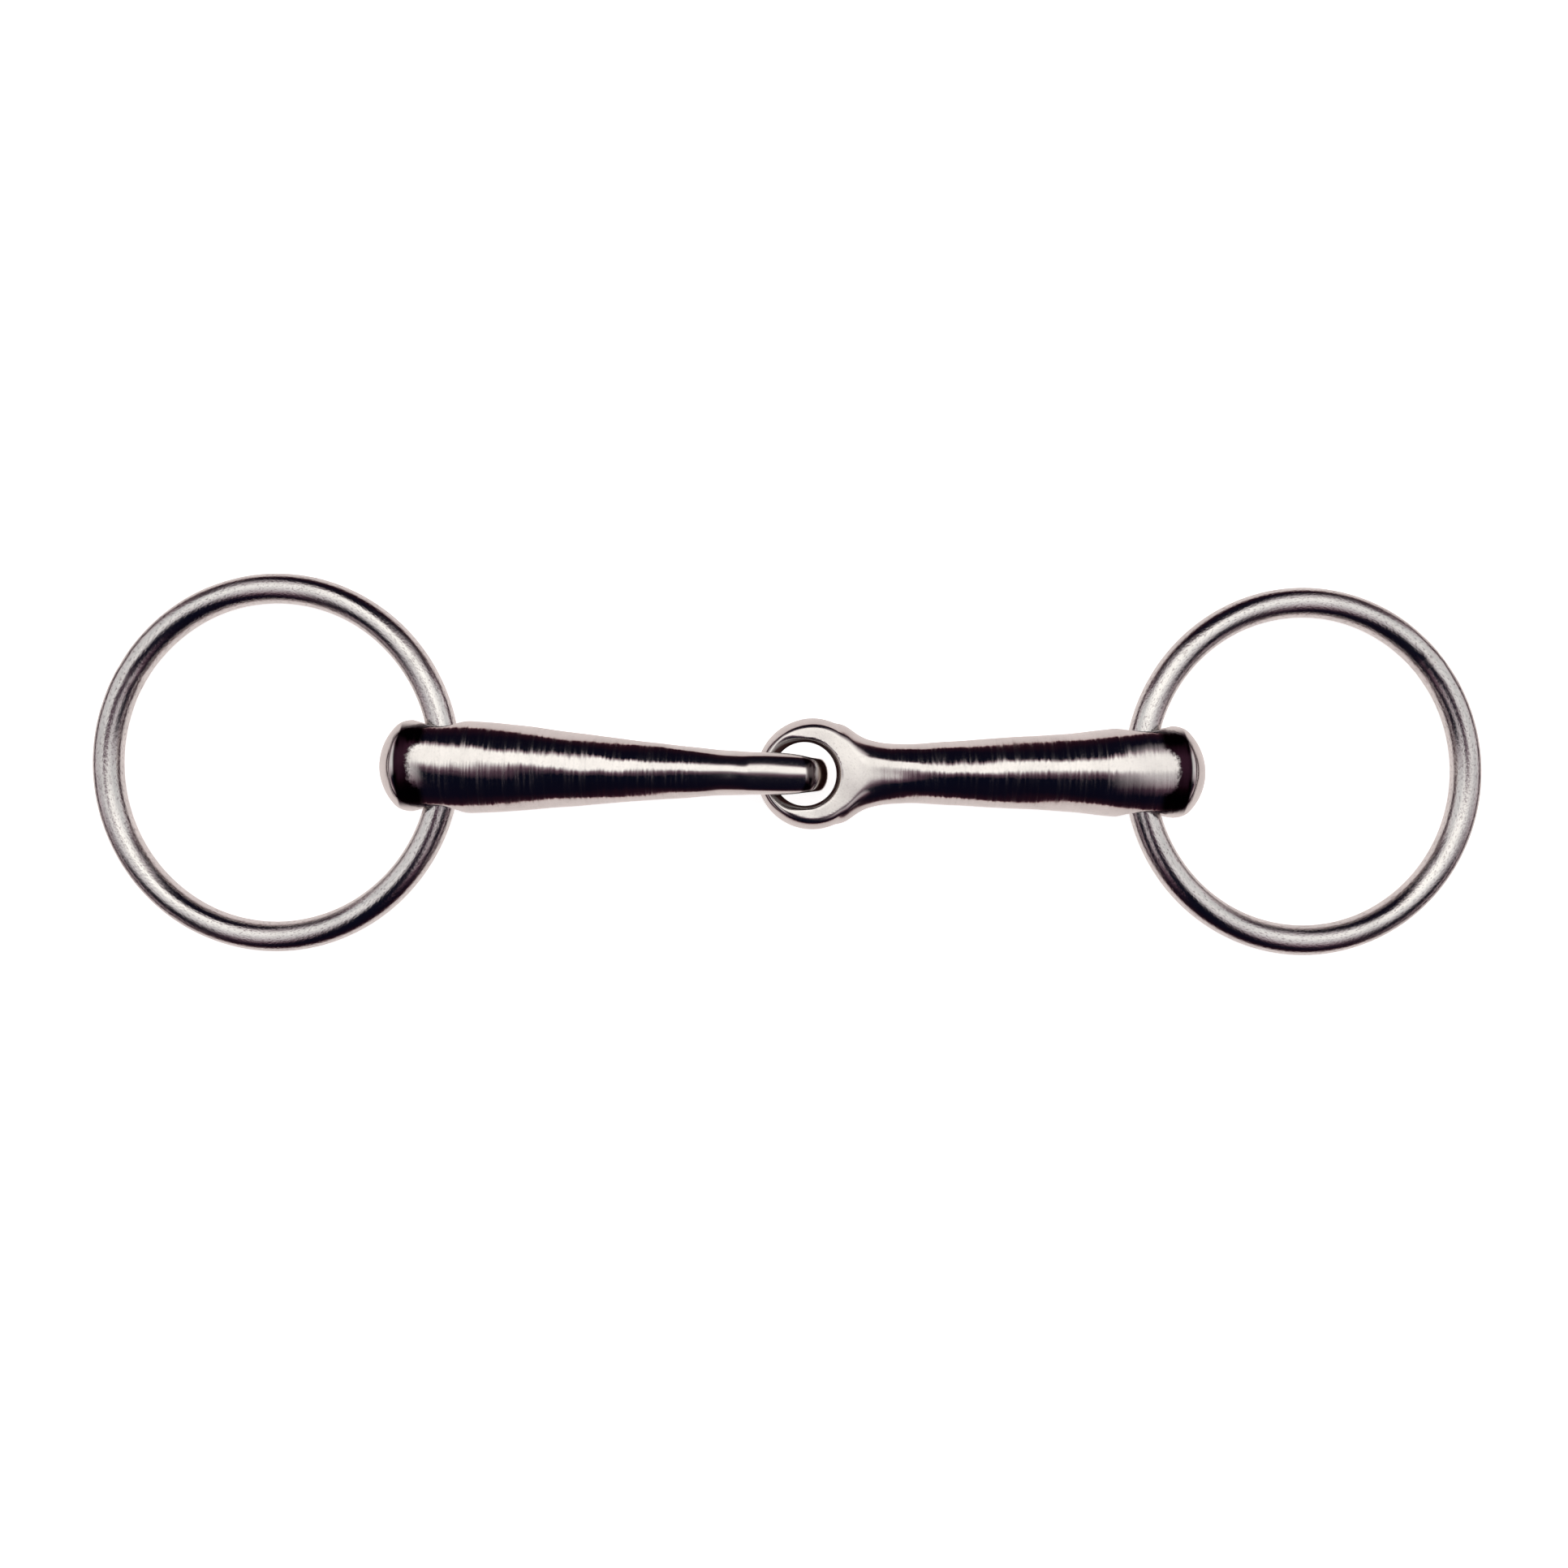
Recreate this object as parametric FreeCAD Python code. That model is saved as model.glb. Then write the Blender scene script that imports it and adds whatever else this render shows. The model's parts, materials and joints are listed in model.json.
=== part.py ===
import FreeCAD, Part
import math
import os

# A single-jointed loose-ring snaffle bit, lying at rest on a table at z = 0.
# Two tapered steel cannons are linked by eyes forged square to each other, and a
# round wire ring runs loose through a hole in the thick butt end of each cannon.
# Millimetres, +X along the mouthpiece, +Y across it, +Z up.

# Eyes: the linked loops at the middle of the mouthpiece, forged with bulging sides
# and then ground flat on their two faces.
EYE_RADIUS = 10.6            # outside of the loop
EYE_THICKNESS = 8.2          # between its flat faces
LEFT_EYE_BULGE = 4.9         # radius of the outer side's bulge, on the rounder loop
RIGHT_EYE_BULGE = 6.0        # the same on the flatter loop
EYE_HOLE_WAIST = 6.0         # hole radius halfway through the loop
EYE_HOLE_MOUTH = 6.7         # hole radius at the loop's two faces
EYE_HOLE_OFFSET = 1.4        # hole centre, from the loop's centre towards its tip
FLAT_END = 7.5               # the faces run flat this far along the cannon
FLAT_RISE = 0.135            # and then rise by this much per millimetre
GRINDING_ALLOWANCE = 0.4     # forged thickness ground off each face
EYE_SPACING = 7.55           # between the two loop centres
PIVOT_OFFSET = 0.2           # each fold axis, from its loop's centre towards the tip
EYE_DROP = 0.2               # the right loop hangs this far below the left one's centre

# Cannons: distance from the loop's centre, size in the loop's plane, size across it,
# and squareness of the outline, from 2 for an ellipse upwards.
CANNON_STATIONS = [
    (5.5, 18.0, 9.6, 2.0),
    (8.8, 14.4, 9.8, 2.0),
    (12.5, 12.3, 10.2, 2.0),
    (17.5, 11.6, 10.9, 2.0),
    (26.0, 12.3, 12.1, 2.0),
    (38.0, 13.9, 14.3, 2.0),
    (49.0, 15.2, 16.7, 2.15),
    (57.0, 16.9, 17.8, 2.4),
    (64.0, 17.9, 17.7, 2.6),
    (70.0, 17.7, 17.6, 2.6),
    (77.0, 17.7, 17.6, 2.6),
]
OUTLINE_POINTS = 16          # spline points round each outline
CANNON_LENGTH = 75.0         # loop's centre to the tip of the butt
BUTT_DOME_RADIUS = 11.0      # spherical end of the butt
BUTT_WIDTH = 17.9            # thickest size of the butt

# Where each butt touches the table: distance from the loop's centre, half thickness.
LEFT_REST_POINT = (66.5, 8.97)
RIGHT_REST_POINT = (70.3, 8.81)

# Holes for the rings, worn wider at their two mouths.
RING_HOLE_DISTANCE = 63.3    # hole axis, from the loop's centre
RING_HOLE_WAIST = 3.85
RING_HOLE_MOUTH = 4.6

# Rings: round wire, bent round and closed by a weld ground flush.
WIRE_RADIUS = 2.9
LEFT_RING_DIAMETER = 73.0    # outside
RIGHT_RING_DIAMETER = 71.0   # outside
WELD_LENGTH = 2.0            # along the wire
LEFT_WELD_ANGLE = 152.0      # round the ring from its crossing point in the butt
RIGHT_WELD_ANGLE = 221.0

# Thin hidden cores, which carry the first of each pair of crossed hinge axes.
CORE_RADIUS = 0.5
CORE_BORE_RADIUS = 0.75
CENTRE_CORE_RING_RADIUS = 8.7

# How the bit lies: each cannon points a little towards +Y from the joint.
LEFT_YAW = 1.34
RIGHT_YAW = 0.30

OVERRUN = 3.0                # how far cutting tools reach past the metal
HALF_LIFT = EYE_THICKNESS / 2.0
HALF_BUTT = BUTT_WIDTH / 2.0
X_AXIS = FreeCAD.Vector(1, 0, 0)
Y_AXIS = FreeCAD.Vector(0, 1, 0)
Z_AXIS = FreeCAD.Vector(0, 0, 1)
ORIGIN = FreeCAD.Vector(0, 0, 0)


def vector(x, y, z):
    return FreeCAD.Vector(x, y, z)


def squared(value, squareness):
    """A sine or cosine, pushed outwards so that it draws a squarer outline."""
    return math.copysign(abs(value) ** (2.0 / squareness), value)


def oval(distance, in_plane, across, squareness):
    """A rounded outline square to the cannon."""
    points = []
    for step in range(OUTLINE_POINTS):
        turn = math.radians(360.0 * step / OUTLINE_POINTS)
        y = squared(math.cos(turn), squareness) * in_plane / 2.0
        z = squared(math.sin(turn), squareness) * across / 2.0
        points.append(vector(distance, y, z))
    curve = Part.BSplineCurve()
    curve.interpolate(points, PeriodicFlag=True)
    return Part.Wire(curve.toShape())


def waisted_hole(waist, mouth, half_length):
    """A tool along +Z for a hole that is narrowest halfway through."""
    top = vector(mouth, 0, half_length)
    bottom = vector(mouth, 0, -half_length)
    wall = Part.Arc(bottom, vector(waist, 0, 0), top).toShape()
    corners = [
        top,
        vector(mouth, 0, half_length + OVERRUN),
        vector(0, 0, half_length + OVERRUN),
        vector(0, 0, -half_length - OVERRUN),
        vector(mouth, 0, -half_length - OVERRUN),
        bottom,
    ]
    sides = Part.makePolygon(corners)
    outline = Part.Wire([wall] + sides.Edges)
    return Part.Face(outline).revolve(ORIGIN, Z_AXIS, 360)


def eye_blank(bulge):
    """The loop's bulging outside, before its faces are ground and its hole is made."""
    half = HALF_LIFT + GRINDING_ALLOWANCE
    side = EYE_RADIUS - bulge + math.sqrt(bulge ** 2 - half ** 2)
    top = vector(side, 0, half)
    bottom = vector(side, 0, -half)
    wall = Part.Arc(bottom, vector(EYE_RADIUS, 0, 0), top).toShape()
    rest = Part.makePolygon([top, vector(0, 0, half), vector(0, 0, -half), bottom])
    return Part.Face(Part.Wire([wall] + rest.Edges)).revolve(ORIGIN, Z_AXIS, 360)


def face_wedge():
    """The space between the two ground faces, which rise away from the loop."""
    far = CANNON_LENGTH + OVERRUN
    high = HALF_LIFT + FLAT_RISE * (far - FLAT_END)
    half_width = 2.0 * EYE_RADIUS
    near = -2.0 * EYE_RADIUS
    corners = [
        vector(near, -half_width, -HALF_LIFT),
        vector(FLAT_END, -half_width, -HALF_LIFT),
        vector(far, -half_width, -high),
        vector(far, -half_width, high),
        vector(FLAT_END, -half_width, HALF_LIFT),
        vector(near, -half_width, HALF_LIFT),
        vector(near, -half_width, -HALF_LIFT),
    ]
    return Part.Face(Part.makePolygon(corners)).extrude(vector(0, 2.0 * half_width, 0))


def butt_end_tool():
    """Everything outside the domed end of the butt."""
    dome_x = CANNON_LENGTH - BUTT_DOME_RADIUS
    block = Part.makeCylinder(2.0 * BUTT_DOME_RADIUS, 2.0 * BUTT_DOME_RADIUS, vector(dome_x, 0, 0), X_AXIS)
    dome = Part.makeSphere(BUTT_DOME_RADIUS, vector(dome_x, 0, 0))
    return block.cut(dome)


def cannon(bulge, ring_hole_axis):
    """One cannon, its loop's centre at the origin and its butt towards +X."""
    sections = [oval(*station) for station in CANNON_STATIONS]
    bar = Part.makeLoft(sections, True, False)
    bar = bar.cut(butt_end_tool())
    body = eye_blank(bulge).fuse(bar)
    body = body.common(face_wedge())
    eye_hole = waisted_hole(EYE_HOLE_WAIST, EYE_HOLE_MOUTH, HALF_LIFT)
    eye_hole.translate(vector(-EYE_HOLE_OFFSET, 0, 0))
    ring_hole = waisted_hole(RING_HOLE_WAIST, RING_HOLE_MOUTH, HALF_BUTT)
    ring_hole.Placement = FreeCAD.Placement(
        vector(RING_HOLE_DISTANCE, 0, 0), FreeCAD.Rotation(Z_AXIS, ring_hole_axis)
    )
    body = body.cut(eye_hole)
    body = body.cut(ring_hole)
    return body.Solids[0]


def pose(origin, x_direction, z_direction):
    """The placement that takes a piece from its own frame to where it lies."""
    y_direction = z_direction.cross(x_direction)
    turn = FreeCAD.Rotation(x_direction, y_direction, z_direction, "XZY")
    return FreeCAD.Placement(origin, turn)


def placed(shape, placement):
    copy = shape.copy()
    copy.Placement = placement.multiply(copy.Placement)
    return copy


def heading(side, yaw, down):
    """A unit direction: side is -1 to the left or 1 to the right, angles in degrees."""
    level = math.cos(math.radians(down))
    return vector(
        side * level * math.cos(math.radians(yaw)),
        level * math.sin(math.radians(yaw)),
        -math.sin(math.radians(down)),
    )


def drop_angle(high, distance, low):
    """How far a line slopes down from one height to another, in degrees."""
    return math.degrees(math.asin((high - low) / distance))


def ring_sizes(outer_diameter):
    """Centreline radius, and how far the ring's centre lies from the hole's axis."""
    radius = outer_diameter / 2.0 - WIRE_RADIUS
    sagitta = radius - math.sqrt(radius ** 2 - HALF_BUTT ** 2)
    return radius, radius - sagitta / 2.0


def ring_layout(side, yaw, outer_diameter, hole, hole_axis):
    """Where a ring lies: through its hole, with its far side down on the table."""
    radius, reach = ring_sizes(outer_diameter)
    down = drop_angle(hole.z, radius + reach, WIRE_RADIUS)
    outward = heading(side, yaw, down)
    centre = hole + outward * reach
    normal = outward.cross(hole_axis)
    normal.normalize()
    if normal.z < 0:
        normal = normal * -1.0
    return {"radius": radius, "centre": centre, "normal": normal, "inward": outward * -1.0}


def wire_stretch(radius, wire, bore, start, sweep):
    """Part of a round wire ring in the XY plane with a fine bore along its middle."""
    spot = vector(radius * math.cos(math.radians(start)), radius * math.sin(math.radians(start)), 0)
    along = vector(-spot.y, spot.x, 0)
    outside = Part.Face(Part.Wire(Part.Circle(spot, along, wire).toShape()))
    inside = Part.Face(Part.Wire(Part.Circle(spot, along, bore).toShape()))
    section = outside.cut(inside)
    return section.revolve(ORIGIN, Z_AXIS, sweep).Solids[0]


def ring_pieces(layout, weld_angle):
    """The ring's open wire, the weld that closes it, and its hidden core."""
    radius = layout["radius"]
    gap = math.degrees(WELD_LENGTH / radius)
    wire = wire_stretch(radius, WIRE_RADIUS, CORE_BORE_RADIUS, weld_angle + gap / 2.0, 360.0 - gap)
    weld = wire_stretch(radius, WIRE_RADIUS, CORE_BORE_RADIUS, weld_angle - gap / 2.0, gap)
    core = Part.makeTorus(radius, CORE_RADIUS)
    where = pose(layout["centre"], layout["inward"], layout["normal"])
    return placed(wire, where), placed(weld, where), placed(core, where)


def reach_along(layout, direction):
    """How far a ring's surface goes from its centre in one direction."""
    flat = math.sqrt(1.0 - layout["normal"].dot(direction) ** 2)
    return layout["radius"] * flat + WIRE_RADIUS


# The left cannon lies on its upright loop and its butt.
left_eye = vector(-EYE_SPACING / 2.0, 0, EYE_RADIUS)
left_down = drop_angle(EYE_RADIUS, *LEFT_REST_POINT)
left_along = heading(-1, LEFT_YAW, left_down)
left_eye_axis = vector(math.sin(math.radians(LEFT_YAW)), math.cos(math.radians(LEFT_YAW)), 0)
left_hole = left_eye + left_along * RING_HOLE_DISTANCE

# The right cannon lies on its butt, and its flat loop hangs in the left one.
right_eye = vector(EYE_SPACING / 2.0, 0, EYE_RADIUS - EYE_DROP)
right_down = drop_angle(right_eye.z, *RIGHT_REST_POINT)
right_along = heading(1, RIGHT_YAW, right_down)
right_side = vector(-math.sin(math.radians(RIGHT_YAW)), math.cos(math.radians(RIGHT_YAW)), 0)
right_eye_axis = right_along.cross(right_side)
right_hole = right_eye + right_along * RING_HOLE_DISTANCE

left_layout = ring_layout(-1, LEFT_YAW, LEFT_RING_DIAMETER, left_hole, left_eye_axis)
right_layout = ring_layout(1, RIGHT_YAW, RIGHT_RING_DIAMETER, right_hole, right_side)

# The part's origin is the middle of its footprint, on the table.
east = right_layout["centre"].x + reach_along(right_layout, X_AXIS)
west = left_layout["centre"].x - reach_along(left_layout, X_AXIS)
north = left_layout["centre"].y + reach_along(left_layout, Y_AXIS)
south = min(
    left_layout["centre"].y - reach_along(left_layout, Y_AXIS),
    right_layout["centre"].y - reach_along(right_layout, Y_AXIS),
)
to_origin = vector(-(east + west) / 2.0, -(north + south) / 2.0, 0)

# Both fold axes, moved with the rest to the part's own frame.
fold_pivot = left_eye - left_along * PIVOT_OFFSET + to_origin
side_fold_pivot = right_eye - right_along * PIVOT_OFFSET + to_origin
left_swing_pivot = left_hole + to_origin
right_swing_pivot = right_hole + to_origin

left_cannon = placed(cannon(LEFT_EYE_BULGE, Z_AXIS), pose(left_eye, left_along, left_eye_axis))
right_cannon = placed(cannon(RIGHT_EYE_BULGE, Y_AXIS), pose(right_eye, right_along, right_eye_axis))

# The centre core turns in a closed channel inside the left loop.
channel = Part.makeTorus(CENTRE_CORE_RING_RADIUS, CORE_BORE_RADIUS, fold_pivot - to_origin, left_eye_axis)
centre_core = Part.makeTorus(CENTRE_CORE_RING_RADIUS, CORE_RADIUS, fold_pivot - to_origin, left_eye_axis)
left_cannon = left_cannon.cut(channel).Solids[0]

left_ring, left_ring_weld, left_ring_core = ring_pieces(left_layout, LEFT_WELD_ANGLE)
right_ring, right_ring_weld, right_ring_core = ring_pieces(right_layout, RIGHT_WELD_ANGLE)

nodes = {
    "left_cannon": left_cannon,
    "right_cannon": right_cannon,
    "left_ring": left_ring,
    "left_ring_weld": left_ring_weld,
    "left_ring_core": left_ring_core,
    "right_ring": right_ring,
    "right_ring_weld": right_ring_weld,
    "right_ring_core": right_ring_core,
    "centre_core": centre_core,
}

os.makedirs("parts", exist_ok=True)
for name, shape in nodes.items():
    shape.translate(to_origin)
    shape.exportStep("parts/" + name + ".step")
    box = shape.optimalBoundingBox(False)
    low = [round(value, 2) for value in (box.XMin, box.YMin, box.ZMin)]
    high = [round(value, 2) for value in (box.XMax, box.YMax, box.ZMax)]
    print(name, "volume", round(shape.Volume, 1), "valid", shape.isValid(), "box", low, high)
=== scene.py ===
import json
import math

import bpy
import numpy as np
import openvdb
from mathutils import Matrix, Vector


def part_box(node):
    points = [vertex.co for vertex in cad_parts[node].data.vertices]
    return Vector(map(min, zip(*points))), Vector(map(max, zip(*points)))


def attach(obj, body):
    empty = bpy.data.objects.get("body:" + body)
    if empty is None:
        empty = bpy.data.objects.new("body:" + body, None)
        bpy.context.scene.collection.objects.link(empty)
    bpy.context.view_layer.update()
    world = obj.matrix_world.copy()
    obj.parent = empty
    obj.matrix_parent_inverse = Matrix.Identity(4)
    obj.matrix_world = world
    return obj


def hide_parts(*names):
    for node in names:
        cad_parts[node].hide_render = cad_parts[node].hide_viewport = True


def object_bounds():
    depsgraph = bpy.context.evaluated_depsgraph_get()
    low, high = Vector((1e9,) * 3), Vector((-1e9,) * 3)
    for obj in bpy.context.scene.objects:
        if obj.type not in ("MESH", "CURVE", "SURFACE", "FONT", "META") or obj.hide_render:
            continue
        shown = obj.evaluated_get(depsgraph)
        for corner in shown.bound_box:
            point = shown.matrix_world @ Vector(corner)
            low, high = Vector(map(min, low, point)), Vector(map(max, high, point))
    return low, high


# A loose-ring snaffle bit in polished steel. The two cannons and the two rings are
# modelled here as smooth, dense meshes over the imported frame. Each cannon is shaped in
# its own frame: millimetres, the loop's centre at the origin, +X towards the butt, +Z
# along the loop's axis.

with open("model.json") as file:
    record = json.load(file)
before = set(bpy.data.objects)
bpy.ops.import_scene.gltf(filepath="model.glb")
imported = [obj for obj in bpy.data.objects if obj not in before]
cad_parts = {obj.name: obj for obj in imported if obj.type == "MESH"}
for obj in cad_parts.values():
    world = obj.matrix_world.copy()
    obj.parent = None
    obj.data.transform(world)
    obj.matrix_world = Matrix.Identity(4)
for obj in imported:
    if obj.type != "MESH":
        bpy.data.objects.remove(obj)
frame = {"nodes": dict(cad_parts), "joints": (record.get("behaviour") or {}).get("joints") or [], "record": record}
cad_low, cad_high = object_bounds()
joints = {joint["name"]: joint for joint in frame["joints"]}
mounts = {mount["name"]: mount for mount in frame["record"]["mounts"]}

MM = 0.001
PIVOT_OFFSET = 0.2           # each fold axis, from its loop's centre towards the tip

# Loops.
EYE_RADIUS = 10.6
HALF_THICKNESS = 4.1
HOLE_WAIST = 6.0
HOLE_BULGE = 17.0            # radius of the hole's bulging wall
HOLE_OFFSET = 1.4
FLAT_END = 7.5
FLAT_RISE = 0.135

# Cannons: distance from the loop's centre, size in the loop's plane, size across it,
# and squareness of the outline, from 2 for an ellipse upwards.
CANNON_STATIONS = [
    (0.0, 16.0, 9.4, 2.0),
    (5.5, 18.0, 9.6, 2.0),
    (8.8, 14.4, 9.8, 2.0),
    (12.5, 12.3, 10.2, 2.0),
    (17.5, 11.6, 10.9, 2.0),
    (26.0, 12.3, 12.1, 2.0),
    (38.0, 13.9, 14.3, 2.0),
    (49.0, 15.2, 16.7, 2.15),
    (57.0, 16.9, 17.8, 2.4),
    (64.0, 17.9, 17.7, 2.6),
    (70.0, 17.7, 17.6, 2.6),
    (80.0, 17.7, 17.6, 2.6),
]
CANNON_LENGTH = 75.0
DOME_RADIUS = 11.0
RING_HOLE_WAIST = 3.85
RING_HOLE_FLARE = 0.0095     # how fast the ring hole opens towards its mouths
VOXEL = 0.36                 # spacing of the shaping grid
GRID_MARGIN = 1.4            # room left round a cannon inside that grid

# Where a cannon's stains, painted shade, painted dark reflections and eased shading lie, in its
# own millimetres: each pair is the start and end of a fade.
LOOP_TO_BAR = (9.0, 18.0)
NECK_START = (-8.5, -6.0)
NECK_END = (14.0, 18.0)
GRIME_AND_SHADE_REACH = (7.4, 7.9)     # from the hole's middle
GRIME_AND_SHADE_EDGE = (3.3, 3.9)      # from the loop's mid plane
RIM_START = (-8.6, -7.9)
RIM_END = (-6.9, -6.3)
RIM_EDGE = (2.9, 3.7)
TIP_END = (-9.0, -8.2)
BAND_INNER = (-1.65, -1.15)  # from the dome's sphere
BAND_OUTER = (-0.34, -0.20)
BAND_START = (64.5, 66.0)
BAND_SIDES = (6.8, 8.3)

# Rings: the weld's length in millimetres, and how finely the wire is divided.
WELD_LENGTH = 2.0
RING_STEPS = 420
WELD_STEPS = 8
WIRE_SIDES = 40
SHARP_ANGLE = math.radians(40.0)

# Camera, in metres.
CAMERA_HEIGHT = 0.320
CAMERA_ASIDE = -0.0006
CAMERA_ACROSS = -0.0038
MIDDLE_HEIGHT = 0.009        # the cannons' mid height, where the frame's width is set
FRAME_WIDTH = 0.3000

TABLE_DROP = 0.00005         # the table top lies just under the bit
LIGHT_TINT = (1.0, 0.975, 0.93)


# ---------------------------------------------------------------- shapes

def unit(vector):
    """The vector at length 1."""
    return vector / np.linalg.norm(vector)


def smooth_max(a, b, width):
    """The larger of two fields, with the crease between them rounded."""
    overlap = np.maximum(width - np.abs(a - b), 0.0)
    return np.maximum(a, b) + overlap * overlap / (4.0 * width)


def smooth_min(a, b, width):
    return -smooth_max(-a, -b, width)


def smooth_step(low, high, value):
    t = np.clip((value - low) / (high - low), 0.0, 1.0)
    return t * t * (3.0 - 2.0 * t)


def along_stations(x, column):
    """A smooth curve through one column of the cannon's stations."""
    table = np.array(CANNON_STATIONS)
    at, value = table[:, 0], table[:, column]
    slope = np.gradient(value, at)
    i = np.clip(np.searchsorted(at, x) - 1, 0, len(at) - 2)
    span = at[i + 1] - at[i]
    t = np.clip((x - at[i]) / span, 0.0, 1.0)
    start = (1.0 + 2.0 * t) * (1.0 - t) ** 2 * value[i] + t * (1.0 - t) ** 2 * span * slope[i]
    end = t * t * (3.0 - 2.0 * t) * value[i + 1] + t * t * (t - 1.0) * span * slope[i + 1]
    return start + end


def hand_ripple(p, seed):
    """Unevenness left by hand grinding: slow waves, and shallow flats round the bar."""
    x, y, z = p[:, 0], p[:, 1], p[:, 2]
    turn = np.arctan2(z, y)
    waves = 0.5 * np.sin(0.31 * x + 0.20 * y + seed)
    waves = waves + 0.3 * np.sin(0.55 * x - 0.33 * z + 2.0 * seed)
    waves = waves + 0.2 * np.sin(0.85 * x + 0.45 * y - 0.4 * z + 3.0 * seed)
    flats = 0.6 * np.sin(5.0 * turn + 1.3 * np.sin(0.16 * x + seed) + seed)
    flats = flats + 0.4 * np.sin(8.0 * turn - 0.21 * x + 2.0 * seed)
    on_bar = smooth_step(*LOOP_TO_BAR, x) * smooth_step(76.0, 66.0, x)
    return 0.05 * (1.0 + waves) + 0.07 * on_bar * (1.0 + flats)


def bar_field(p, across_eye):
    """The tapered bar: negative inside, about a distance in millimetres near its surface.

    It is flatter on the two sides where the ring's hole comes out."""
    x, y, z = p[:, 0], p[:, 1], p[:, 2]
    half_y = along_stations(x, 1) / 2.0
    half_z = along_stations(x, 2) / 2.0
    square = along_stations(x, 3)
    square_y = square if across_eye else 2.0
    square_z = 2.0 if across_eye else square
    rho = np.sqrt(y * y + z * z) + 1e-9
    total = np.abs(y / half_y) ** square_y + np.abs(z / half_z) ** square_z
    share = total ** (2.0 / (2.0 + square)) + 1e-9
    return np.maximum(rho - rho / share, -x)


def eye_field(p, bulge):
    """The loop's bulging outside."""
    rho = np.sqrt(p[:, 0] ** 2 + p[:, 1] ** 2)
    return np.sqrt((rho - EYE_RADIUS + bulge) ** 2 + p[:, 2] ** 2) - bulge


def eye_hole_field(p):
    """Positive in the loop's hole, whose wall bulges inwards."""
    rho = np.sqrt((p[:, 0] + HOLE_OFFSET) ** 2 + p[:, 1] ** 2)
    inward = np.maximum(HOLE_WAIST + HOLE_BULGE - rho, 0.0)
    return np.sqrt(inward ** 2 + p[:, 2] ** 2) - HOLE_BULGE


def ring_hole_field(p, distance, across_eye):
    """Positive in the ring's hole, which runs along the loop's axis or square to it."""
    along = p[:, 2] if across_eye else p[:, 1]
    aside = p[:, 1] if across_eye else p[:, 2]
    rho = np.sqrt((p[:, 0] - distance) ** 2 + aside ** 2)
    return RING_HOLE_WAIST + RING_HOLE_FLARE * along ** 2 - rho


def cannon_field(p, shape):
    """The whole cannon: negative inside."""
    x = p[:, 0]
    joined = 0.2 + 2.0 * smooth_step(2.5, 7.0, x)
    body = smooth_min(eye_field(p, shape["bulge"]), bar_field(p, shape["across_eye"]), joined)
    rise = FLAT_RISE * smooth_max(x - FLAT_END, 0.0 * x, 6.0)
    body = smooth_max(body, np.abs(p[:, 2]) - HALF_THICKNESS - rise, shape["edge"])
    dome_x = CANNON_LENGTH - DOME_RADIUS
    dome = np.sqrt((x - dome_x) ** 2 + p[:, 1] ** 2 + p[:, 2] ** 2) - DOME_RADIUS
    dome = np.where(x < dome_x, -DOME_RADIUS, dome)
    body = smooth_max(body, dome, 1.0)
    hole_edge = 0.4 + 2.3 * smooth_step(-1.0, -8.0, x)
    body = smooth_max(body, eye_hole_field(p), hole_edge)
    body = smooth_max(body, ring_hole_field(p, shape["hole"], shape["across_eye"]), 1.0)
    return body + hand_ripple(p, shape["seed"])


def field_slope(p, field):
    """The field's gradient by central differences."""
    step = 0.01
    slope = np.zeros_like(p)
    for axis in range(3):
        shift = np.zeros(3)
        shift[axis] = step
        slope[:, axis] = (field(p + shift) - field(p - shift)) / (2.0 * step)
    return slope


def pull_to_surface(p, field, times):
    """Moves points onto the field's surface by Newton steps."""
    for _ in range(times):
        slope = field_slope(p, field)
        steep = np.maximum((slope * slope).sum(axis=1), 1e-6)
        p = p - slope * (field(p) / steep)[:, None]
    return p


def relax(p, quads, times):
    """Evens out the mesh: each point moves towards the middle of its neighbours."""
    edges = np.concatenate([quads[:, [0, 1]], quads[:, [1, 2]], quads[:, [2, 3]], quads[:, [3, 0]]])
    both = np.concatenate([edges, edges[:, ::-1]])
    count = np.bincount(both[:, 0], minlength=len(p))[:, None]
    for _ in range(times):
        total = np.zeros_like(p)
        np.add.at(total, both[:, 0], p[both[:, 1]])
        p = p + 0.5 * (total / count - p)
    return p


def surface_of(field, low, high):
    """Points and quads of a field's surface inside a box."""
    axes = [np.arange(a, b, VOXEL) for a, b in zip(low, high)]
    x, y, z = np.meshgrid(*axes, indexing="ij")
    points = np.stack([x.ravel(), y.ravel(), z.ravel()], axis=1)
    values = field(points).reshape(x.shape).astype(np.float32)
    grid = openvdb.FloatGrid(1.0)
    grid.copyFromArray(values)
    points, quads = grid.convertToQuads(isovalue=0.0)
    points = points.astype(float) * VOXEL + np.array(low)
    points = pull_to_surface(points, field, 2)
    for _ in range(3):
        points = pull_to_surface(relax(points, quads, 2), field, 2)
    slope = field_slope(points, field)
    normals = slope / np.linalg.norm(slope, axis=1)[:, None]
    return points, outward(points, quads, normals), normals


def outward(points, quads, normals):
    """The quads, turned so that they face out of the solid."""
    a, b, c = points[quads[:, 0]], points[quads[:, 1]], points[quads[:, 2]]
    facing = (np.cross(b - a, c - a) * normals[quads[:, 0]]).sum(axis=1)
    return quads[:, ::-1] if facing.sum() < 0 else quads


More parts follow.
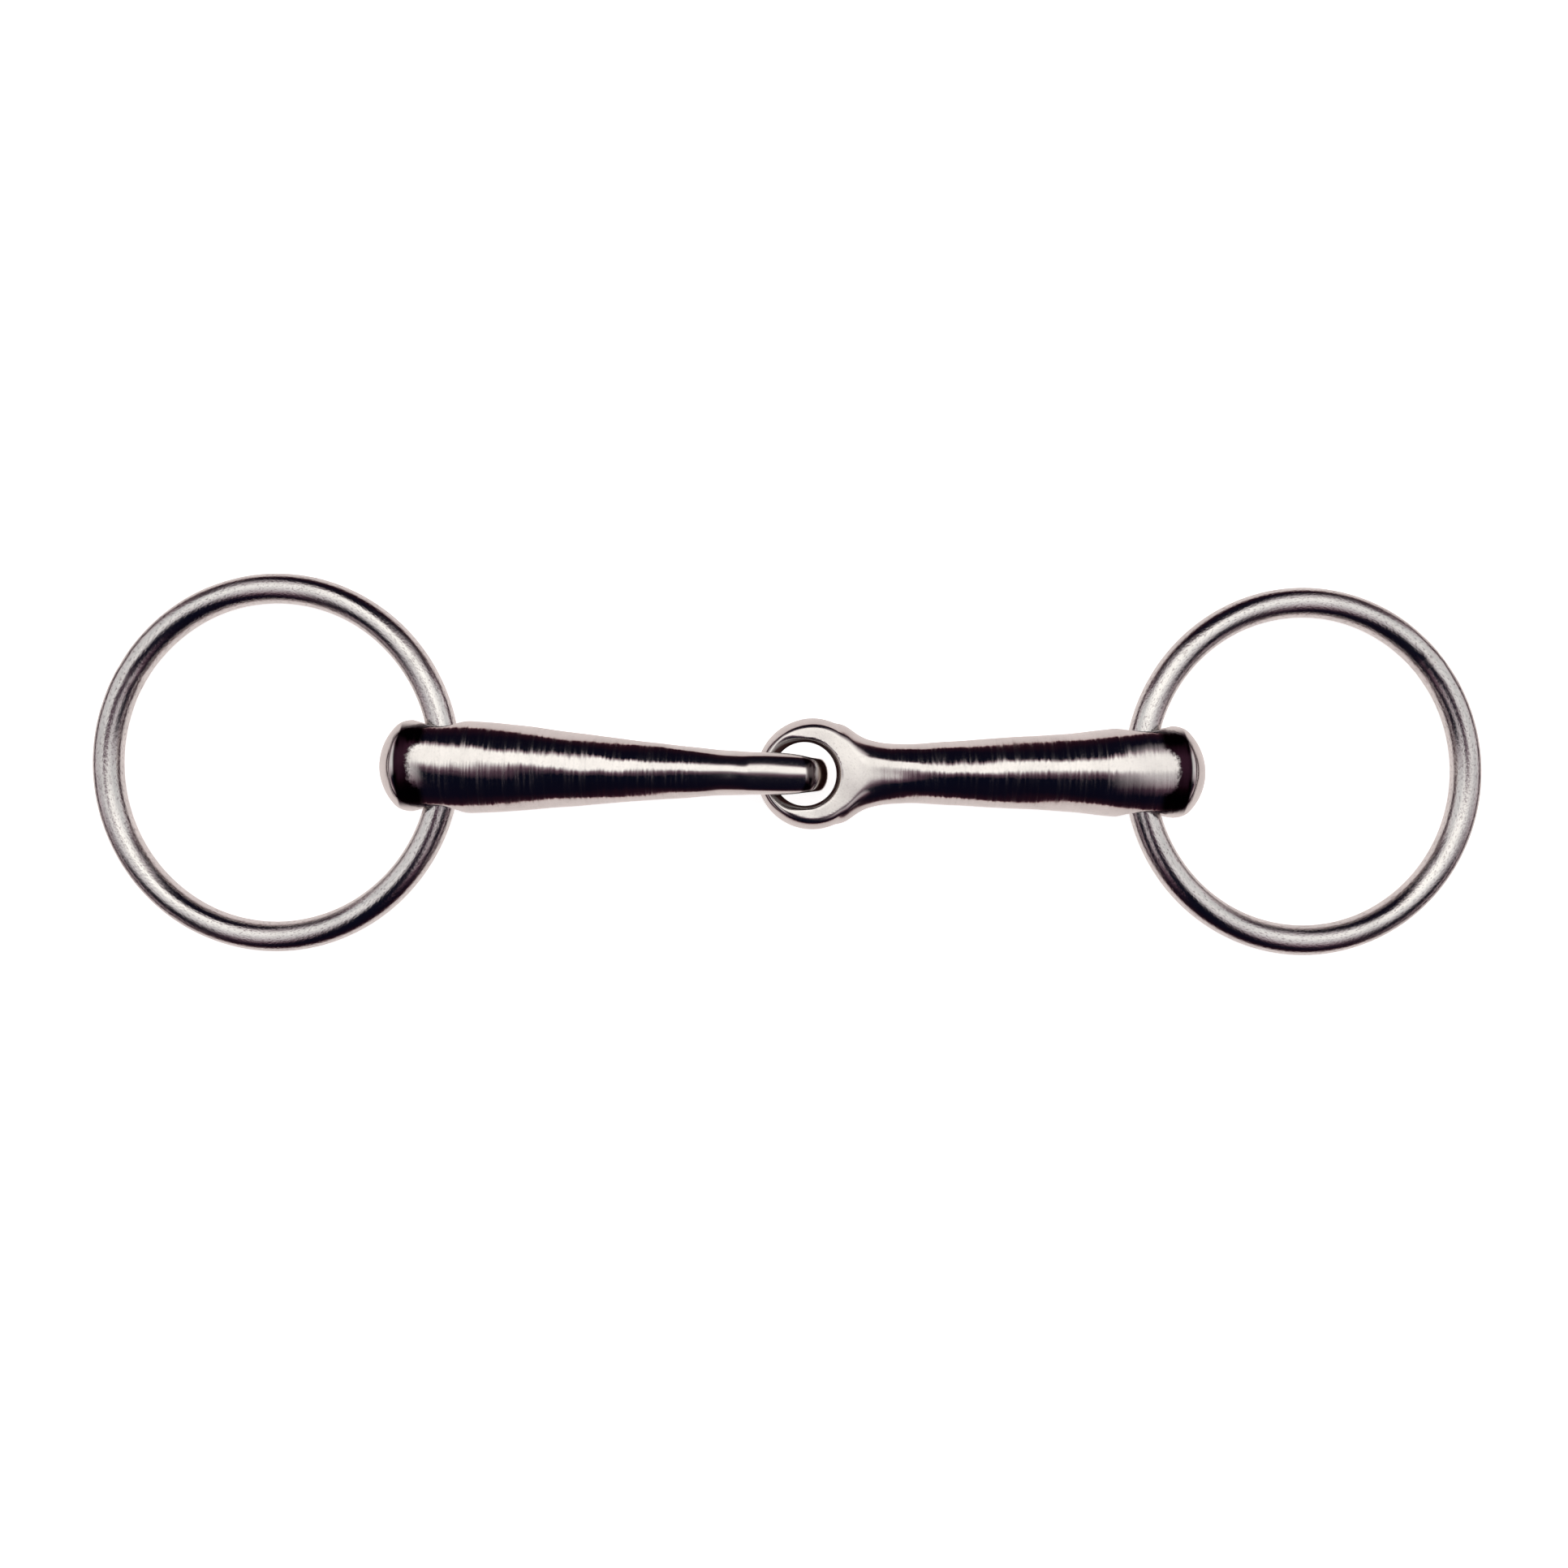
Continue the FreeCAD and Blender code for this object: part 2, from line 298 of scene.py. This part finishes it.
def make_mesh(name, points, faces, placement, normals=None, local=None):
    """A mesh object in metres from points in a piece's own frame.

    Two attributes carry on to its material: where each point is in the piece's own
    millimetres, and which way the piece's own X axis runs."""
    matrix = np.array(placement)
    world = points @ matrix[:3, :3].T + matrix[:3, 3]
    mesh = bpy.data.meshes.new(name)
    mesh.from_pydata(world.tolist(), [], [tuple(face) for face in faces])
    mesh.shade_smooth()
    attribute = mesh.attributes.new("local", "FLOAT_VECTOR", "POINT")
    spots = points if local is None else local
    attribute.data.foreach_set("vector", spots.astype(np.float32).ravel())
    along = mesh.attributes.new("along", "FLOAT_VECTOR", "POINT")
    axis = unit(matrix[:3, 0])
    along.data.foreach_set("vector", np.tile(axis, len(points)).astype(np.float32))
    if normals is not None:
        turned = normals @ matrix[:3, :3].T
        turned = turned / np.linalg.norm(turned, axis=1)[:, None]
        mesh.normals_split_custom_set_from_vertices(turned.tolist())
    else:
        mesh.set_sharp_from_angle(angle=SHARP_ANGLE)
    made = bpy.data.objects.new(name, mesh)
    bpy.context.scene.collection.objects.link(made)
    return made


def own_frame(origin, x_axis, z_axis):
    """A matrix from a piece's own millimetres to the row frame's metres."""
    y_axis = np.cross(z_axis, x_axis)
    turned = np.eye(4)
    turned[:3, :3] = np.stack([x_axis, y_axis, z_axis], axis=1) * MM
    turned[:3, 3] = origin
    return turned


# ---------------------------------------------------------------- cannons

def make_cannon(name, fold, swing, across_eye, bulge, edge, seed):
    """One cannon, placed by its fold axis and its ring hole's axis."""
    fold_at = np.array(joints[fold]["pos_m"])
    swing_at = np.array(joints[swing]["pos_m"])
    along = unit(swing_at - fold_at)
    eye_axis = unit(np.array(joints[fold]["axis"]))
    eye_axis = unit(eye_axis - along * eye_axis.dot(along))
    centre = fold_at + along * PIVOT_OFFSET * MM
    placement = own_frame(centre, along, eye_axis)
    shape = {
        "bulge": bulge,
        "edge": edge,
        "seed": seed,
        "across_eye": across_eye,
        "hole": np.linalg.norm(swing_at - centre) / MM,
    }
    reach = EYE_RADIUS + GRID_MARGIN
    low = (-reach, -reach, -reach)
    high = (CANNON_LENGTH + GRID_MARGIN, reach, reach)
    points, quads, normals = surface_of(lambda p: cannon_field(p, shape), low, high)
    made = make_mesh(name + "_body", points, quads, placement, normals)
    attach(made, name)
    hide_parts(name)
    return made


# ---------------------------------------------------------------- rings

def tube(radius, wire, start, sweep, steps, uneven):
    """A closed stretch of round wire bent round +Z, with flat ends."""
    turn = start + sweep * np.linspace(0.0, 1.0, steps)[:, None]
    around = 2.0 * math.pi * np.arange(WIRE_SIDES)[None, :] / WIRE_SIDES
    thick = wire - uneven(turn - start, around)
    rho = radius + thick * np.cos(around)
    points = np.stack([rho * np.cos(turn), rho * np.sin(turn), thick * np.sin(around)], axis=2)
    arc = np.broadcast_to(radius * (turn - start), thick.shape)
    local = np.stack([arc, thick * np.cos(around), thick * np.sin(around)], axis=2)
    index = np.arange(steps * WIRE_SIDES).reshape(steps, WIRE_SIDES)
    here, ahead = index[:-1], index[1:]
    quads = np.stack([here, ahead, np.roll(ahead, -1, axis=1), np.roll(here, -1, axis=1)], axis=2)
    faces = [tuple(q) for q in quads.reshape(-1, 4).tolist()]
    faces.append(tuple(index[0].tolist()))
    faces.append(tuple(index[-1][::-1].tolist()))
    return points.reshape(-1, 3), faces, local.reshape(-1, 3)


def ring_wear(seed, sweep):
    """Thickness lost along a ring's wire: slow waves, and dressing beside the weld."""
    def lost(turn, around):
        slow = 0.5 + 0.25 * np.sin(3.0 * turn + seed) + 0.25 * np.sin(7.0 * turn + 2.0 * around + seed)
        from_end = np.minimum(turn, sweep - turn)
        dressed = np.exp(-(from_end / 0.16) ** 2)
        facets = 0.5 + 0.5 * np.sin(5.0 * around + 26.0 * turn + seed)
        return 0.03 * slow + 0.05 * dressed * facets
    return lost


def weld_wear(turn, around):
    """Thickness ground off the weld, in shallow facets."""
    return 0.045 + 0.02 * np.sin(4.0 * around + 60.0 * turn)


def make_ring(side, seed):
    """One ring's wire and the weld that closes it."""
    run = joints[side + "_ring_run"]
    seat = mounts[side + "_ring_strap_seat"]["dims"]
    centre = np.array(run["pos_m"])
    normal = unit(np.array(run["axis"]))
    wire = seat["length_mm"] / 2.0
    radius = seat["r_mm"] + wire
    low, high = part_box(side + "_ring_weld")
    to_weld = np.array((low + high) / 2.0) - centre
    to_weld = unit(to_weld - normal * to_weld.dot(normal))
    placement = own_frame(centre, to_weld, normal)
    gap = WELD_LENGTH / radius
    sweep = 2.0 * math.pi - gap
    points, faces, local = tube(radius, wire, gap / 2.0, sweep, RING_STEPS, ring_wear(seed, sweep))
    body = make_mesh(side + "_ring_wire", points, faces, placement, local=local)
    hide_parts(side + "_ring")
    points, faces, local = tube(radius, wire, -gap / 2.0, gap, WELD_STEPS, weld_wear)
    weld = make_mesh(side + "_ring_weld_seam", points, faces, placement, local=local)
    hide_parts(side + "_ring_weld")
    for piece in (body, weld):
        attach(piece, side + "_ring")
    return body, weld


# ---------------------------------------------------------------- materials

def add(tree, kind, inputs=None, **settings):
    """A shader node with its settings, and its inputs set or linked."""
    made = tree.nodes.new(kind)
    for key, value in settings.items():
        setattr(made, key, value)
    for key, value in (inputs or {}).items():
        if isinstance(value, bpy.types.NodeSocket):
            tree.links.new(value, made.inputs[key])
        else:
            made.inputs[key].default_value = value
    return made


def calc(tree, operation, a, b=0.0, c=0.0):
    """One arithmetic step on up to three values."""
    return add(tree, "ShaderNodeMath", {0: a, 1: b, 2: c}, operation=operation).outputs[0]


def remap(tree, value, low, high, to_low=0.0, to_high=1.0):
    """A smooth fade from to_low to to_high as the value goes from low to high."""
    sockets = {"Value": value, "From Min": low, "From Max": high, "To Min": to_low, "To Max": to_high}
    return add(tree, "ShaderNodeMapRange", sockets, interpolation_type="SMOOTHSTEP").outputs[0]


def blend(tree, share, first, second):
    """A mix of two colours, by a share from 0 to 1."""
    made = add(tree, "ShaderNodeMix", {"Factor": share}, data_type="RGBA")
    for socket, value in ((6, first), (7, second)):
        if isinstance(value, bpy.types.NodeSocket):
            tree.links.new(value, made.inputs[socket])
        else:
            made.inputs[socket].default_value = value
    return made.outputs[2]


def noise(tree, place, stretch, scale, detail):
    """Noise over the piece's own millimetres, stretched along its axes."""
    at = add(tree, "ShaderNodeMapping", {"Vector": place, "Scale": stretch}).outputs[0]
    sockets = {"Vector": at, "Scale": scale, "Detail": detail, "Roughness": 0.6}
    return add(tree, "ShaderNodeTexNoise", sockets).outputs["Fac"]


def tilted_normal(tree, place, on_bar, on_loop, look):
    """The surface normal, tilted a little round the bar in narrow polished bands.

    The loop's normals lean by a fixed amount, and the neck's are eased, where the look says."""
    axis = add(tree, "ShaderNodeAttribute", attribute_name="along").outputs["Vector"]
    axis = add(
        tree, "ShaderNodeVectorTransform", {0: axis},
        vector_type="VECTOR", convert_from="OBJECT", convert_to="WORLD",
    ).outputs[0]
    normal = add(tree, "ShaderNodeNewGeometry").outputs["Normal"]
    around = add(tree, "ShaderNodeVectorMath", {0: axis, 1: normal}, operation="CROSS_PRODUCT").outputs[0]
    band = noise(tree, place, (1.0, 0.05, 0.05), 2.0, 2.0)
    amount = calc(tree, "MULTIPLY", on_bar, look["tilt"])
    tilt = calc(tree, "MULTIPLY", calc(tree, "SUBTRACT", band, 0.5), amount)
    tilt = calc(tree, "MULTIPLY_ADD", on_loop, look["loop_lean"], tilt)
    shift = add(tree, "ShaderNodeVectorMath", {0: around, "Scale": tilt}, operation="SCALE").outputs[0]
    moved = add(tree, "ShaderNodeVectorMath", {0: normal, 1: shift}, operation="ADD").outputs[0]
    if look["neck_ease"] > 0.0:
        moved = eased_neck(tree, place, axis, moved, look["neck_ease"])
    return add(tree, "ShaderNodeVectorMath", {0: moved}, operation="NORMALIZE").outputs[0]


def eased_neck(tree, place, axis, normal, ease):
    """The normal with less lean along the bar, where polishing eased the neck."""
    x = add(tree, "ShaderNodeSeparateXYZ", {0: place}).outputs[0]
    at_neck = calc(tree, "MULTIPLY", remap(tree, x, *NECK_START), remap(tree, x, *NECK_END, 1.0, 0.0))
    lean = add(tree, "ShaderNodeVectorMath", {0: axis, 1: normal}, operation="DOT_PRODUCT").outputs["Value"]
    less = calc(tree, "MULTIPLY", calc(tree, "MULTIPLY", lean, at_neck), -ease)
    back = add(tree, "ShaderNodeVectorMath", {0: axis, "Scale": less}, operation="SCALE").outputs[0]
    return add(tree, "ShaderNodeVectorMath", {0: normal, 1: back}, operation="ADD").outputs[0]


def hole_grime_and_shade(tree, place):
    """Brown residue and painted shade on the wall of the loop's hole, from 0 to 1: the wall is darkened in its
    colour where its shade falls.
    """
    x, y, z = add(tree, "ShaderNodeSeparateXYZ", {0: place}).outputs
    from_middle = calc(tree, "ADD", x, HOLE_OFFSET)
    rho = calc(tree, "MULTIPLY_ADD", y, y, calc(tree, "MULTIPLY", from_middle, from_middle))
    rho = calc(tree, "SQRT", rho)
    off_face = remap(tree, calc(tree, "ABSOLUTE", z), *GRIME_AND_SHADE_EDGE, 1.0, 0.0)
    in_hole = calc(tree, "MULTIPLY", remap(tree, rho, *GRIME_AND_SHADE_REACH, 1.0, 0.0), off_face)
    patchy = remap(tree, noise(tree, place, (1.0, 1.0, 1.0), 0.45, 3.0), 0.30, 0.60, 0.97, 1.0)
    return calc(tree, "MULTIPLY", in_hole, patchy)


def painted_rim_and_worn_tip(tree, place, tint):
    """The tint with a painted dark rim where the loop's top turns down, painted shade standing in for a dark
    reflection, and brown wear beyond it.
    """
    x, _, z = add(tree, "ShaderNodeSeparateXYZ", {0: place}).outputs
    bent = calc(tree, "MULTIPLY_ADD", calc(tree, "MULTIPLY", z, z), -0.1, x)
    off_face = remap(tree, calc(tree, "ABSOLUTE", z), *RIM_EDGE, 1.0, 0.0)
    # Painted dark rim at the loop's bend: a dark reflection painted into the colour.
    rim = calc(tree, "MULTIPLY", remap(tree, bent, *RIM_START), remap(tree, bent, *RIM_END, 0.9, 0.0))
    tint = blend(tree, calc(tree, "MULTIPLY", rim, off_face), tint, PAINTED_RIM_TINT)
    return blend(tree, remap(tree, x, *TIP_END, 0.75, 0.0), tint, WEAR_TINT)


def painted_dark_band(tree, place, hole_axis):
    """How much of the painted dark band beside the butt's dome lies here, from 0 to 1: painted shade standing in
    for a dark reflection.
    """
    x, y, z = add(tree, "ShaderNodeSeparateXYZ", {0: place}).outputs
    from_dome = add(
        tree, "ShaderNodeVectorMath", {0: place, 1: (CANNON_LENGTH - DOME_RADIUS, 0.0, 0.0)},
        operation="DISTANCE",
    ).outputs["Value"]
    inside = calc(tree, "SUBTRACT", from_dome, DOME_RADIUS)
    speckle = calc(tree, "SUBTRACT", noise(tree, place, (1.0, 1.0, 1.0), 1.8, 5.0), 0.5)
    rough_edge = calc(tree, "MULTIPLY_ADD", speckle, 0.9, inside)
    aside = calc(tree, "ABSOLUTE", y if hole_axis == "Y" else z)
    rounded = calc(tree, "MULTIPLY_ADD", calc(tree, "POWER", aside, 4.0), 0.0016, rough_edge)
    inner = remap(tree, rounded, *BAND_INNER)
    outer = remap(tree, inside, *BAND_OUTER, 1.0, 0.0)
    near_end = remap(tree, x, *BAND_START)
    clear = remap(tree, aside, *BAND_SIDES, 1.0, 0.0)
    band = calc(tree, "MULTIPLY", inner, outer)
    return calc(tree, "MULTIPLY", band, calc(tree, "MULTIPLY", near_end, clear))


def steel(name, look):
    """Polished steel: fine polishing grooves, faint pits, and slow stains in its shine.

    On a loop look its colour also holds painted shade: grime with painted shade in the loop's hole, a painted dark
    rim at the loop's tip where the look asks, and a painted dark band beside the butt's dome.
    """
    material = bpy.data.materials.new(name)
    material.use_nodes = True
    tree = material.node_tree
    tree.nodes.clear()
    place = add(tree, "ShaderNodeAttribute", attribute_name="local").outputs["Vector"]
    broad = noise(tree, place, look["grooves"], 1.6, 3.0)
    stain = noise(tree, place, (1.0, 1.0, 1.0), 0.16, 4.0)
    grain = noise(tree, place, look["grain_stretch"], look["grain_size"], 3.0)
    pit = remap(tree, grain, 0.52, 0.72)
    streak = remap(tree, broad, 0.42, 0.70)
    if look["loop"]:
        x = add(tree, "ShaderNodeSeparateXYZ", {0: place}).outputs[0]
        on_bar = remap(tree, x, *LOOP_TO_BAR)
    else:
        on_bar = 1.0
    on_loop = calc(tree, "SUBTRACT", 1.0, on_bar)
    streak = calc(tree, "MULTIPLY", streak, on_bar)
    shine = calc(tree, "MULTIPLY_ADD", streak, look["streak_rough"], look["rough"])
    shine = calc(tree, "MULTIPLY_ADD", pit, look["pit_rough"], shine)
    shine = calc(tree, "MULTIPLY_ADD", stain, 0.05, shine)
    if look["loop"]:
        shine = calc(tree, "MULTIPLY_ADD", on_loop, look["loop_rough"], shine)
    tilted = tilted_normal(tree, place, on_bar, on_loop, look)
    grooved = add(
        tree, "ShaderNodeBump",
        {"Distance": look["groove_depth"], "Height": broad, "Normal": tilted, "Strength": on_bar},
    ).outputs[0]
    bumped = add(
        tree, "ShaderNodeBump",
        {"Distance": -look["pit_depth"], "Height": grain, "Normal": grooved, "Strength": 1.0},
    ).outputs[0]
    dull = tuple(0.88 * channel for channel in look["tint"])
    wear_and_painted_shade = blend(tree, remap(tree, stain, 0.35, 0.75), (*look["tint"], 1.0), (*dull, 1.0))
    wear_and_painted_shade = blend(tree, calc(tree, "MULTIPLY", pit, look["pit_stain"]), wear_and_painted_shade, PIT_TINT)
    bare = 1.0
    if look["loop"]:
        if look["painted_rim_and_worn_tip"]:
            wear_and_painted_shade = painted_rim_and_worn_tip(tree, place, wear_and_painted_shade)
        # Grime with painted shade on the wall of the loop's hole.
        grime_and_shade = hole_grime_and_shade(tree, place)
        wear_and_painted_shade = blend(tree, grime_and_shade, wear_and_painted_shade, GRIME_AND_SHADE_TINT)
        # Painted dark band beside the butt's dome: a dark reflection painted into the colour.
        wear_and_painted_shade = blend(tree, painted_dark_band(tree, place, look["hole_axis"]), wear_and_painted_shade, PAINTED_DARK_BAND_TINT)
        shine = calc(tree, "MULTIPLY_ADD", grime_and_shade, 0.4, shine)
        bare = calc(tree, "SUBTRACT", 1.0, grime_and_shade)
    shader = add(
        tree, "ShaderNodeBsdfPrincipled",
        {
            "Base Color": wear_and_painted_shade,
            "Metallic": bare,
            "Roughness": shine,
            "Normal": bumped,
            "Specular IOR Level": calc(tree, "MULTIPLY", bare, 0.5),
        },
    )
    add(tree, "ShaderNodeOutputMaterial", {"Surface": shader.outputs[0]})
    return material


PIT_TINT = (0.17, 0.10, 0.125, 1.0)
# Brown grime darkened to paint the shade on the loop hole's wall.
GRIME_AND_SHADE_TINT = (0.060, 0.022, 0.022, 1.0)
# Colour of the painted dark band beside each butt's dome, a painted dark reflection.
PAINTED_DARK_BAND_TINT = (0.028, 0.010, 0.019, 1.0)
# Colour of the painted dark rim at the loop's bend.
PAINTED_RIM_TINT = (0.05, 0.028, 0.030, 1.0)
WEAR_TINT = (0.34, 0.24, 0.19, 1.0)
LEFT_LOOK = {
    "tint": (0.84, 0.81, 0.795),
    "rough": 0.05,
    "streak_rough": 0.13,
    "grooves": (1.0, 0.05, 0.05),
    "groove_depth": 0.000003,
    "grain_stretch": (1.0, 1.0, 1.0),
    "grain_size": 2.4,
    "pit_depth": 0.000002,
    "pit_rough": 0.06,
    "pit_stain": 0.06,
    "tilt": 0.16,
    "loop": True,
    "loop_rough": 0.08,
    "loop_lean": 0.0,
    "neck_ease": 0.9,
    "painted_rim_and_worn_tip": True,
    "hole_axis": "Z",
}
RIGHT_LOOK = {**LEFT_LOOK, "loop_lean": -0.06, "neck_ease": 0.0, "painted_rim_and_worn_tip": False, "hole_axis": "Y"}
RING_LOOK = {
    "tint": (0.88, 0.865, 0.855),
    "rough": 0.07,
    "streak_rough": 0.05,
    "grooves": (0.08, 1.0, 1.0),
    "groove_depth": 0.000003,
    "grain_stretch": (0.7, 1.4, 1.4),
    "grain_size": 2.2,
    "pit_depth": 0.000045,
    "pit_rough": 0.09,
    "pit_stain": 0.50,
    "tilt": 0.0,
    "loop": False,
    "loop_lean": 0.0,
    "neck_ease": 0.0,
}
WELD_LOOK = {**RING_LOOK, "tint": (0.86, 0.84, 0.825), "rough": 0.15, "pit_depth": 0.000018}


def give(material, *pieces):
    """Gives each piece this one material."""
    for piece in pieces:
        piece.data.materials.clear()
        piece.data.materials.append(material)


# ---------------------------------------------------------------- studio

def make_world():
    """A dark studio over a pale table, lit by a long narrow window with wide ends.

    The camera itself sees a plain white backdrop."""
    world = bpy.data.worlds.new("studio")
    world.use_nodes = True
    tree = world.node_tree
    tree.nodes.clear()
    way = add(tree, "ShaderNodeTexCoord").outputs["Generated"]
    split = add(tree, "ShaderNodeSeparateXYZ", {0: way})
    along, across, up = split.outputs[0], split.outputs[1], split.outputs[2]
    to_far = remap(tree, calc(tree, "ABSOLUTE", along), 0.60, 0.88)
    table = blend(tree, to_far, tone_ramp(tree, up, TABLE_TONES), tone_ramp(tree, up, FAR_TABLE_TONES))
    leftward = calc(tree, "MAXIMUM", calc(tree, "MINIMUM", along, 0.0), -0.20)
    slanted = calc(tree, "MULTIPLY_ADD", leftward, WINDOW_SLANT, across)
    middle = tone_ramp(tree, slanted, MIDDLE_TONES)
    ends = tone_ramp(tree, across, END_TONES)
    sides = tone_ramp(tree, across, SIDE_TONES)
    to_ends = calc(tree, "MAXIMUM", remap(tree, along, *RIGHT_END), remap(tree, along, *LEFT_END))
    to_sides = remap(tree, calc(tree, "ABSOLUTE", along), 0.50, 0.68)
    window = blend(tree, to_sides, blend(tree, to_ends, middle, ends), sides)
    window = add(
        tree, "ShaderNodeVectorMath",
        {0: window, "Scale": remap(tree, up, 0.02, 0.22)}, operation="SCALE",
    ).outputs[0]
    lit = add(tree, "ShaderNodeVectorMath", {0: table, 1: window}, operation="ADD").outputs[0]
    seen = add(tree, "ShaderNodeLightPath").outputs["Is Camera Ray"]
    studio = add(tree, "ShaderNodeBackground", {"Color": lit, "Strength": 1.0})
    backdrop = add(tree, "ShaderNodeBackground", {"Color": (1.0, 1.0, 1.0, 1.0), "Strength": 1.0})
    shown = add(tree, "ShaderNodeMixShader", {0: seen, 1: studio.outputs[0], 2: backdrop.outputs[0]})
    add(tree, "ShaderNodeOutputWorld", {"Surface": shown.outputs[0]})
    bpy.context.scene.world = world


def tone_ramp(tree, value, tones):
    """Colours by a direction's component, from -1 to 1: (component, colour) stops."""
    share = calc(tree, "MULTIPLY_ADD", value, 0.5, 0.5)
    made = add(tree, "ShaderNodeValToRGB", {0: share})
    stops = made.color_ramp.elements
    while len(stops) > 1:
        stops.remove(stops[-1])
    for number, (component, tone) in enumerate(tones):
        at = (component + 1.0) / 2.0
        stop = stops[0] if number == 0 else stops.new(at)
        stop.position = at
        stop.color = (*tone, 1.0)
    return made.outputs[0]


# The studio's tones by how far a direction points up: table below, dark room above.
TABLE_TONES = [
    (-1.00, (0.78, 0.70, 0.68)),
    (-0.45, (0.72, 0.64, 0.625)),
    (-0.29, (0.64, 0.545, 0.53)),
    (-0.235, (0.26, 0.155, 0.16)),
    (-0.18, (0.040, 0.012, 0.022)),
    (-0.05, (0.016, 0.005, 0.010)),
    (0.30, (0.004, 0.003, 0.009)),
    (1.00, (0.0025, 0.0035, 0.011)),
]
# The same towards the bit's two ends, where a pale wall stands behind the table.
FAR_TABLE_TONES = [
    (-1.00, (0.78, 0.70, 0.68)),
    (-0.45, (0.72, 0.64, 0.625)),
    (-0.38, (0.62, 0.53, 0.52)),
    (-0.33, (0.030, 0.010, 0.020)),
    (-0.04, (0.030, 0.010, 0.020)),
    (0.02, (0.42, 0.34, 0.35)),
    (0.09, (0.46, 0.39, 0.40)),
    (0.16, (0.13, 0.07, 0.09)),
    (0.30, (0.004, 0.003, 0.009)),
    (1.00, (0.0025, 0.0035, 0.011)),
]
# The window's tones by how far a direction leans across the bit: over the middle,
# towards its two ends, and far out to the sides.
MIDDLE_TONES = [
    (-0.34, (0.0, 0.0, 0.0)),
    (-0.12, (0.09, 0.048, 0.062)),
    (-0.02, (0.29, 0.22, 0.24)),
    (0.07, (0.85, 0.83, 0.80)),
    (0.13, (1.18, 1.15, 1.09)),
    (0.52, (1.18, 1.15, 1.09)),
    (0.62, (0.25, 0.17, 0.19)),
    (0.68, (0.0, 0.0, 0.0)),
]
END_TONES = [
    (-0.80, (0.0, 0.0, 0.0)),
    (-0.62, (0.10, 0.05, 0.065)),
    (-0.46, (0.38, 0.31, 0.325)),
    (-0.20, (0.62, 0.58, 0.58)),
    (0.00, (0.74, 0.715, 0.70)),
    (0.15, (0.95, 0.925, 0.89)),
    (0.45, (0.95, 0.925, 0.89)),
    (0.68, (0.46, 0.40, 0.41)),
    (0.86, (0.0, 0.0, 0.0)),
]
SIDE_TONES = [
    (-0.32, (0.0, 0.0, 0.0)),
    (-0.14, (0.42, 0.375, 0.385)),
    (0.08, (0.64, 0.63, 0.62)),
    (0.48, (0.64, 0.63, 0.62)),
    (0.60, (0.08, 0.035, 0.05)),
    (0.66, (0.0, 0.0, 0.0)),
]
WINDOW_SLANT = 0.6           # the window turns a little towards its left end
RIGHT_END = (0.14, 0.34)
LEFT_END = (-0.26, -0.38)


def make_area_light(name, at, size, size_y, power):
    """A soft light aimed at the bit's middle, unseen by the camera and by the steel."""
    data = bpy.data.lights.new(name, "AREA")
    data.shape = "RECTANGLE"
    data.size = size
    data.size_y = size_y
    data.energy = power
    data.color = LIGHT_TINT
    lamp = bpy.data.objects.new(name, data)
    bpy.context.scene.collection.objects.link(lamp)
    lamp.location = at
    lamp.rotation_mode = "QUATERNION"
    lamp.rotation_quaternion = (-Vector(at)).to_track_quat("-Z", "Y")
    lamp.visible_camera = False
    lamp.visible_glossy = False
    return lamp


def make_floor():
    """A plain pale table top."""
    reach = 3.0
    corners = [(-reach, -reach, 0.0), (reach, -reach, 0.0), (reach, reach, 0.0), (-reach, reach, 0.0)]
    mesh = bpy.data.meshes.new("table_top")
    mesh.from_pydata(corners, [], [(0, 1, 2, 3)])
    floor = bpy.data.objects.new("table_top", mesh)
    bpy.context.scene.collection.objects.link(floor)
    floor.location.z = -TABLE_DROP
    floor.visible_glossy = False
    material = bpy.data.materials.new("table_top")
    material.use_nodes = True
    tree = material.node_tree
    tree.nodes.clear()
    paper = add(tree, "ShaderNodeBsdfDiffuse", {"Color": (0.85, 0.85, 0.85, 1.0)})
    glow = add(tree, "ShaderNodeEmission", {"Color": (1.0, 1.0, 1.0, 1.0), "Strength": 0.80})
    both = add(tree, "ShaderNodeAddShader", {0: paper.outputs[0], 1: glow.outputs[0]})
    add(tree, "ShaderNodeOutputMaterial", {"Surface": both.outputs[0]})
    give(material, floor)


def make_camera():
    """Looks straight down from above the joint, close enough for strong perspective."""
    data = bpy.data.cameras.new("camera")
    camera = bpy.data.objects.new("camera", data)
    bpy.context.scene.collection.objects.link(camera)
    middle = (cad_low + cad_high) / 2.0
    camera.location = (middle.x + CAMERA_ASIDE, middle.y + CAMERA_ACROSS, CAMERA_HEIGHT)
    data.sensor_width = 36.0
    data.lens = data.sensor_width * (CAMERA_HEIGHT - MIDDLE_HEIGHT) / FRAME_WIDTH
    data.clip_start = 0.01
    data.clip_end = 20.0
    bpy.context.scene.camera = camera


make_camera()
left = make_cannon("left_cannon", "mouthpiece_fold", "left_ring_swing", True, 4.9, 1.3, 0.4)
right = make_cannon("right_cannon", "mouthpiece_side_fold", "right_ring_swing", False, 6.0, 0.5, 2.1)
left_ring, left_weld = make_ring("left", 0.7)
right_ring, right_weld = make_ring("right", 2.9)

left_steel = steel("left_cannon_steel", LEFT_LOOK)
right_steel = steel("right_cannon_steel", RIGHT_LOOK)
ring_steel = steel("ring_steel", RING_LOOK)
weld_steel = steel("weld_steel", WELD_LOOK)
give(left_steel, left)
give(right_steel, right)
give(ring_steel, left_ring, right_ring)
give(weld_steel, left_weld, right_weld)
for core in ("left_ring_core", "right_ring_core", "centre_core"):
    give(weld_steel, frame["nodes"][core])

make_floor()
make_world()
make_area_light("window_light", (-0.02, 0.20, 0.66), 0.9, 0.5, 1.2)
make_area_light("room_fill", (0.0, 0.0, 1.1), 1.6, 1.6, 2.0)
bpy.context.scene.view_settings.view_transform = "Standard"
